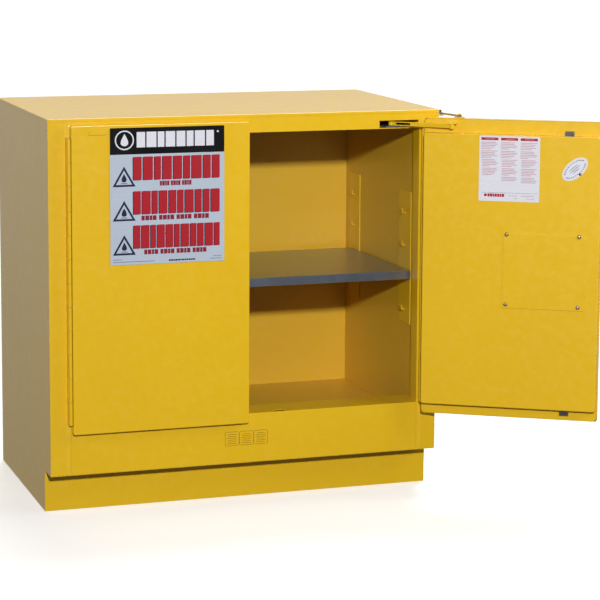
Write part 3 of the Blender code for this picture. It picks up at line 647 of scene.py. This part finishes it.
def make_instruction_label(materials):
    """The white label inside the right door: three columns of lines under red bars."""
    film, red, pink, grey = range(4)
    s0, s1, t0, t1 = 0.134, 0.2710, 0.6915, 0.8395
    pitch, width = 0.0444, 0.0385
    bm = bmesh.new()
    add_slab(bm, rectangle(s0, t0, s1, t1, 0.002), 0.0, FILM, film)
    for column, rows in enumerate((20, 23, 24)):
        left = s0 + 0.0043 + pitch * column
        right = left + width
        ink(bm, rectangle(left, t1 - 0.0100, right, t1 - 0.0040), red)
        ink(bm, rectangle(left + 0.010, t1 - 0.0076, right - 0.008, t1 - 0.0064), pink, 1)
        add_lines(bm, left, right, t1 - 0.0142, rows, pink)
    ink(bm, rectangle(s0 + 0.006, t0 + 0.0190, s1 - 0.004, t0 + 0.0196), grey)
    add_blocks(bm, s0 + 0.020, s0 + 0.058, t0 + 0.0100, t0 + 0.0170, 7, red)
    ink(bm, ellipse(s0 + 0.0155, t0 + 0.0135, 0.0034, 0.0034, steps=20), red)
    for start, end in ((0.068, 0.088), (0.096, 0.126)):
        ink(bm, rectangle(s0 + start, t0 + 0.0125, s0 + end, t0 + 0.0137), pink)
        ink(bm, rectangle(s0 + start + 0.012, t0 + 0.0065, s0 + end, t0 + 0.0077), pink)
    names = ("film_pale", "red", "pink", "grey")
    chosen = [materials[name] for name in names]
    item = sheet_object("instruction_label", bm, *right_pan_plane(), chosen, "right_door")


def make_oval_sticker(materials):
    """The tilted oval approval sticker, with plain arcs of blocks."""
    film, rim, grey, navy = range(4)
    s, t, tilt = 0.3500, 0.7695, math.radians(42)
    bm = bmesh.new()
    add_slab(bm, ellipse(s, t, 0.0345, 0.0195, tilt), 0.0, FILM, film)
    add_band(
        bm, ellipse(s, t, 0.0338, 0.0188, tilt), ellipse(s, t, 0.0322, 0.0172, tilt),
        FILM - INK, FILM + INK, rim)
    for step, spot in enumerate(ellipse(s, t, 0.0275, 0.0132, tilt, steps=30)):
        # The arcs stop short of the oval's two ends
        if step % 15 not in (0, 14):
            ink(bm, ellipse(*spot, 0.0019, 0.0012, tilt, 8), grey)
    for offset, half in ((0.0045, 0.013), (0.0, 0.016), (-0.0045, 0.011)):
        centre = (s - offset * math.sin(tilt), t + offset * math.cos(tilt))
        ink(bm, ellipse(*centre, half, 0.0008, tilt, 12), grey)
    ink(bm, rectangle(s + 0.0090, t - 0.0145, s + 0.0145, t - 0.0090), navy)
    names = ("film_pale", "cream", "grey", "navy")
    chosen = [materials[name] for name in names]
    item = sheet_object("oval_sticker", bm, *right_pan_plane(), chosen, "right_door")


def make_sill_decal(materials):
    """Three small outlined cells printed on the sill."""
    bm = bmesh.new()
    s0, t0, width, height = -0.054, 0.1355, 0.0328, 0.0325
    line, gap = 0.0008, 0.0012
    for cell in range(3):
        left = s0 + cell * (width + gap)
        outer = rectangle(left, t0, left + width, t0 + height, 0.004)
        inner = rectangle(left + line, t0 + line, left + width - line, t0 + height - line, 0.003)
        add_band(bm, outer, inner, 0.0, FILM, 0)
        for row in range(6):
            t = t0 + height - 0.0060 - row * 0.0042
            half = width / 2 - 0.0055 - 0.0015 * math.sin(2.1 * row + cell)
            middle = left + width / 2
            add_slab(bm, rectangle(middle - half, t - 0.0009, middle + half, t), 0.0, FILM, 0)
    item = sheet_object("sill_decal", bm, *frame_plane(), [materials["brown"]], "cabinet")


# Hardware

def add_turned(bm, profile, s, t):
    """A turned solid standing on the sheet's plane, from (radius, height) points."""
    loops = []
    for radius, height in profile:
        ring = []
        for step in range(SCREW_STEPS):
            angle = 2 * math.pi * step / SCREW_STEPS
            ring.append(bm.verts.new((s + radius * math.cos(angle), t + radius * math.sin(angle), height)))
        loops.append(ring)
    bm.faces.new(loops[0][::-1])
    bm.faces.new(loops[-1])
    for first, second in zip(loops, loops[1:]):
        bridge(bm, first, second)


def cut_cross(item, spots, top):
    """Cross recesses in the screw heads, whose tops are at this height."""
    narrow = CROSS_HALF * CROSS_NARROW
    for half_s, half_t in ((narrow, CROSS_HALF), (CROSS_HALF, narrow)):
        bm = bmesh.new()
        for s, t in spots:
            bar = rectangle(s - half_s, t - half_t, s + half_s, t + half_t)
            add_slab(bm, bar, top - CROSS_DEPTH, top + 0.01, 0)
        mesh = bpy.data.meshes.new("recess")
        bm.to_mesh(mesh)
        bm.free()
        cutter = bpy.data.objects.new("recess", mesh)
        bpy.context.scene.collection.objects.link(cutter)
        cutter.matrix_world = item.matrix_world
        bpy.context.view_layer.update()
        cut = item.modifiers.new("recess", "BOOLEAN")
        cut.operation = "DIFFERENCE"
        cut.object = cutter
        cut.solver = "EXACT"
        with bpy.context.temp_override(object=item, active_object=item):
            bpy.ops.object.modifier_apply(modifier=cut.name)
        bpy.data.objects.remove(cutter)


def make_cover_screws(materials):
    """Pan-head screws at the access cover's corners."""
    spots = [(s, t) for s in (0.199, 0.3625) for t in (0.4560, 0.6165)]
    plate = 0.0012
    profile = (
        (0.0020, plate - 0.0008), (0.0046, plate), (0.0048, plate + 0.0004), (0.0046, plate + 0.0012),
        (0.0038, plate + 0.0020), (0.0024, plate + 0.0025), (0.0012, plate + SCREW_TOP),
    )
    bm = bmesh.new()
    for s, t in spots:
        add_turned(bm, profile, s, t)
    chosen = [materials["plated_screw"]]
    item = sheet_object("cover_screws", bm, *right_pan_plane(), chosen, "right_door")
    cut_cross(item, spots, plate + SCREW_TOP)
    shade(item, math.radians(SHARP_ON_SCREW))


def make_frame_welds(materials):
    """Ground welds over the joints between the header, the stiles and the sill."""
    bm = bmesh.new()
    for node in ("frame_header", "frame_sill"):
        low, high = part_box(node)
        for x in (low.x, high.x):
            add_bead(bm, x - MIDDLE_X, low.z + BEAD_INSET, high.z - BEAD_INSET)
    for side in SIDES:
        low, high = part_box(f"{side}_hinge_frame_leaf")
        stile_low, stile_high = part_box(f"frame_stile_{side}")
        outer = low.x + BEAD_INSET if side == "left" else high.x - BEAD_INSET
        pocket = outer - MIDDLE_X
        add_bead(bm, pocket, stile_low.z + BEAD_INSET, low.z - BEAD_GAP)
        add_bead(bm, pocket, high.z + BEAD_GAP, stile_high.z - BEAD_INSET)
    item = sheet_object("face_frame_welds", bm, *frame_plane(), [materials["enamel"]], "cabinet")
    shade(item, math.radians(SHARP_ON_BEAD))


def add_bead(bm, s, low, high):
    """A low crowned strip along t."""
    shares = [step / BEAD_STEPS for step in range(BEAD_STEPS + 1)]
    section = [(s + BEAD_WIDTH * (share - 0.5), BEAD_HEIGHT * math.sin(math.pi * share)) for share in shares]
    rings = [[bm.verts.new((x, t, h)) for x, h in section] for t in (low, high)]
    bm.faces.new(rings[0])
    bm.faces.new(rings[1][::-1])
    bridge(bm, rings[0], rings[1])


# Surroundings

def make_floor():
    """A large floor that neither lights the cabinet nor shows in its reflections."""
    mesh = bpy.data.meshes.new("floor")
    half = FLOOR_HALF
    corners = [(-half, -half, 0), (half, -half, 0), (half, half, 0), (-half, half, 0)]
    mesh.from_pydata(corners, [], [(0, 1, 2, 3)])
    floor = bpy.data.objects.new("floor", mesh)
    bpy.context.scene.collection.objects.link(floor)
    floor.location.z = -FLOOR_DROP
    mesh.materials.append(studio_floor("floor_paper"))
    floor.visible_diffuse = False
    floor.visible_glossy = False


def add_sun(name, from_side, height, irradiance, softness):
    """A far lamp, in degrees: from_side from straight ahead to the right, height above the horizon."""
    lamp = bpy.data.lights.new(name, "SUN")
    lamp.energy = irradiance * math.pi
    lamp.angle = math.radians(softness)
    item = bpy.data.objects.new(name, lamp)
    bpy.context.scene.collection.objects.link(item)
    side, up = math.radians(from_side), math.radians(height)
    towards = Vector((math.sin(side) * math.cos(up), -math.cos(side) * math.cos(up), math.sin(up)))
    item.rotation_euler = towards.to_track_quat("Z", "Y").to_euler()


def make_lights():
    add_softbox(
        "key", offset=(-1.30, -5.50, 2.25), aim=(0.0, 0.0, 0.45), size=0.19, power=250.0, mirrored=True)
    add_sun("left_fill", from_side=-88, height=20, irradiance=0.10, softness=12)
    add_sun("overhead", from_side=150, height=55, irradiance=0.70, softness=30)
    add_softbox(
        "right_softbox", offset=(1.5, -1.1, 1.3), aim=(0.35, -0.05, 0.70), size=0.9, power=11.0,
        mirrored=False)


def add_softbox(name, offset, aim, size, power, mirrored):
    """A square lamp; offset and aim count from the middle of the footprint. Mirrored: seen in gloss."""
    lamp = bpy.data.lights.new(name, "AREA")
    lamp.size = size
    lamp.energy = power
    item = bpy.data.objects.new(name, lamp)
    bpy.context.scene.collection.objects.link(item)
    middle = Vector((MIDDLE_X, MIDDLE_Y, 0.0))
    item.location = middle + Vector(offset)
    item.visible_glossy = mirrored
    item.rotation_euler = (item.location - middle - Vector(aim)).to_track_quat("Z", "Y").to_euler()


def make_surroundings():
    """A white studio behind the cabinet and a dark one in front, dimmer as a lamp than as a mirror image."""
    world = bpy.data.worlds.new("studio")
    bpy.context.scene.world = world
    world.use_nodes = True
    background = world.node_tree.nodes["Background"]
    background.inputs["Color"].default_value = WHITE
    rays = add_node(world, "LightPath").outputs
    direction = add_node(world, "TexCoord").outputs["Generated"]
    parts = add_node(world, "SeparateXYZ", {"Vector": direction}).outputs
    mirrored = spread(world, parts["Y"], -0.25, 0.30, *WORLD_MIRRORED)
    mirrored = multiply(world, mirrored, spread(world, parts["Z"], -0.26, -0.06, 0.55, 1.0))
    lit = add_node(world, "Mix", {0: rays["Is Glossy Ray"], 2: WORLD_LIT, 3: mirrored}).outputs[0]
    seen = add_node(world, "Mix", {0: rays["Is Camera Ray"], 2: lit, 3: WORLD_SEEN}).outputs[0]
    link(world, seen, background.inputs["Strength"])


def make_camera():
    data = bpy.data.cameras.new("camera")
    data.sensor_width = 36.0
    data.lens = CAMERA_LENS
    data.shift_y = CAMERA_SHIFT
    data.clip_end = 200.0
    item = bpy.data.objects.new("camera", data)
    bpy.context.scene.collection.objects.link(item)
    item.location = CAMERA_SPOT + Vector((MIDDLE_X, MIDDLE_Y, 0.0))
    turn = (
        Matrix.Rotation(-CAMERA_YAW, 4, "Z")
        @ Matrix.Rotation(math.pi / 2 + CAMERA_PITCH, 4, "X")
        @ Matrix.Rotation(CAMERA_ROLL, 4, "Z")
    )
    item.rotation_euler = turn.to_euler()
    bpy.context.scene.camera = item


def main():
    materials = make_materials()
    finish_cad_nodes(materials)
    make_warning_label(materials)
    make_instruction_label(materials)
    make_oval_sticker(materials)
    make_sill_decal(materials)
    make_cover_screws(materials)
    make_frame_welds(materials)
    make_floor()
    make_lights()
    make_surroundings()
    make_camera()
    bpy.context.scene.view_settings.view_transform = "Standard"


main()
